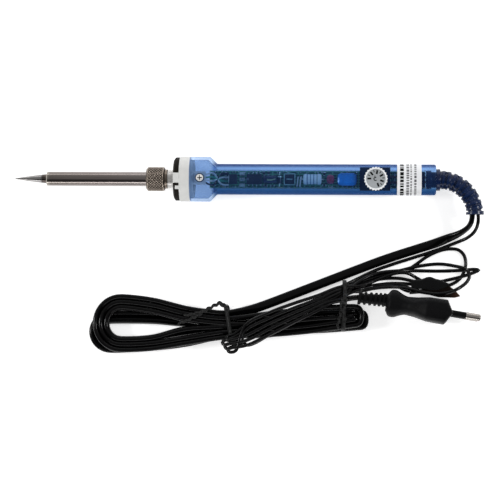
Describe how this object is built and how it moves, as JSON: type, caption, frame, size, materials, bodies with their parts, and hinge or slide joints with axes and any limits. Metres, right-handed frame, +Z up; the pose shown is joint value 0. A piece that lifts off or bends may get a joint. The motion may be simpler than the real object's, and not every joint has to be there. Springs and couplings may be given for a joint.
{
  "type": "soldering iron",
  "caption": "Corded temperature-adjustable soldering iron: steel barrel with a conical tip, clear blue handle showing its circuit board, thumb dial, tied mains lead with plug, earth clip.",
  "frame": {"origin": "on the bench below the middle of the iron, tip to handle end", "axes": "+X from the tip to the cord boot, +Z up through the dial"},
  "size_m": [0.258, 0.1078, 0.0353],
  "materials": {
    "tip_plating": "iron-plated, tinned",
    "steel": "satin, darkened by heat",
    "nut_steel": "knurled",
    "nipple": "satin",
    "ceramic": "matt",
    "dark_resin": "moulded, matt",
    "white_resin": "moulded, matt",
    "clear_blue": "transparent blue moulding",
    "screw_steel": "plated",
    "board_green": "solder mask",
    "pad_tin": "tinned",
    "black_epoxy": "moulded",
    "trimmer_body": "moulded",
    "white_wire": "insulated",
    "brown_wire": "insulated",
    "resistor_body": "lacquered, banded",
    "red_film": "dipped",
    "blue_film": "dipped",
    "pot_metal": "pressed",
    "pocket_black": "moulded",
    "shaft_metal": "turned",
    "dial_grey": "moulded, printed marks",
    "label_white": "plastic film",
    "boot_navy": "moulded PVC",
    "lead_black": "PVC sheath, satin",
    "plug_black": "moulded PVC, satin",
    "pin_plate": "nickel-plated",
    "jaw_copper": "copper-tinted plate",
    "spring_steel": "drawn wire",
    "tie_black": "paper and wire"
  },
  "bodies": {
    "housing": {"heater_rod": "ceramic", "threaded_neck": "nipple", "insulator_disc": "dark_resin", "front_collar": "white_resin", "handle_shell": "clear_blue", "shell_screw": "screw_steel", "heater_leads": "white_wire", "circuit_board": "board_green", "terminal_pads": "pad_tin", "heater_triac": "black_epoxy", "control_chip": "black_epoxy", "timing_capacitor": "black_epoxy", "rectifier_diode": "black_epoxy", "calibration_trimmer": "trimmer_body", "jumper_wires": "white_wire", "dropper_resistor": "resistor_body", "red_capacitor": "red_film", "blue_capacitor": "blue_film", "potentiometer_body": "pot_metal", "dial_bezel": "pocket_black", "supply_wires": "brown_wire", "rating_label": "label_white", "strain_relief_boot": "boot_navy", "mains_lead": "lead_black", "mains_hank": "lead_black", "mains_tail": "lead_black", "plug_strain_relief": "plug_black", "plug_body": "plug_black", "pin_sleeves": "plug_black", "plug_pins": "pin_plate", "earth_lead": "lead_black", "earth_hank": "lead_black", "earth_bundle": "lead_black", "earth_loops": "lead_black", "earth_tail": "lead_black", "clip_lower_jaw": "jaw_copper", "clip_pin": "pin_plate", "clip_spring": "spring_steel", "clip_sleeve": "plug_black", "hank_tie": "tie_black", "bundle_tie": "tie_black"},
    "barrel": {"tip_barrel": "steel", "soldering_tip": "tip_plating"},
    "nut": {"barrel_nut": "nut_steel"},
    "dial": {"temperature_dial": "dial_grey", "dial_shaft": "shaft_metal"},
    "clip_jaw": {"clip_upper_jaw": "jaw_copper", "clip_grip": "plug_black"}
  },
  "joints": [
    {"name": "barrel_slide", "type": "slide", "parent": "housing", "child": "barrel", "axis": [-1, 0, 0], "range_m": [0, 0.07]},
    {"name": "nut_turn", "type": "hinge", "parent": "barrel", "child": "nut", "pos_m": [-0.037, 0, 0.01245], "axis": [1, 0, 0], "continuous": true},
    {"name": "dial_turn", "type": "hinge", "parent": "housing", "child": "dial", "pos_m": [0.0831, 0, 0.01245], "axis": [0, 0, 1], "range_deg": [-120, 120]},
    {"name": "clip_open", "type": "hinge", "parent": "housing", "child": "clip_jaw", "pos_m": [0.1147, -0.059, 0.0085], "axis": [0, 0, 1], "range_deg": [0, 15], "stiffness_Nm_per_rad": 0.05, "springref_deg": -28.65}
  ]
}
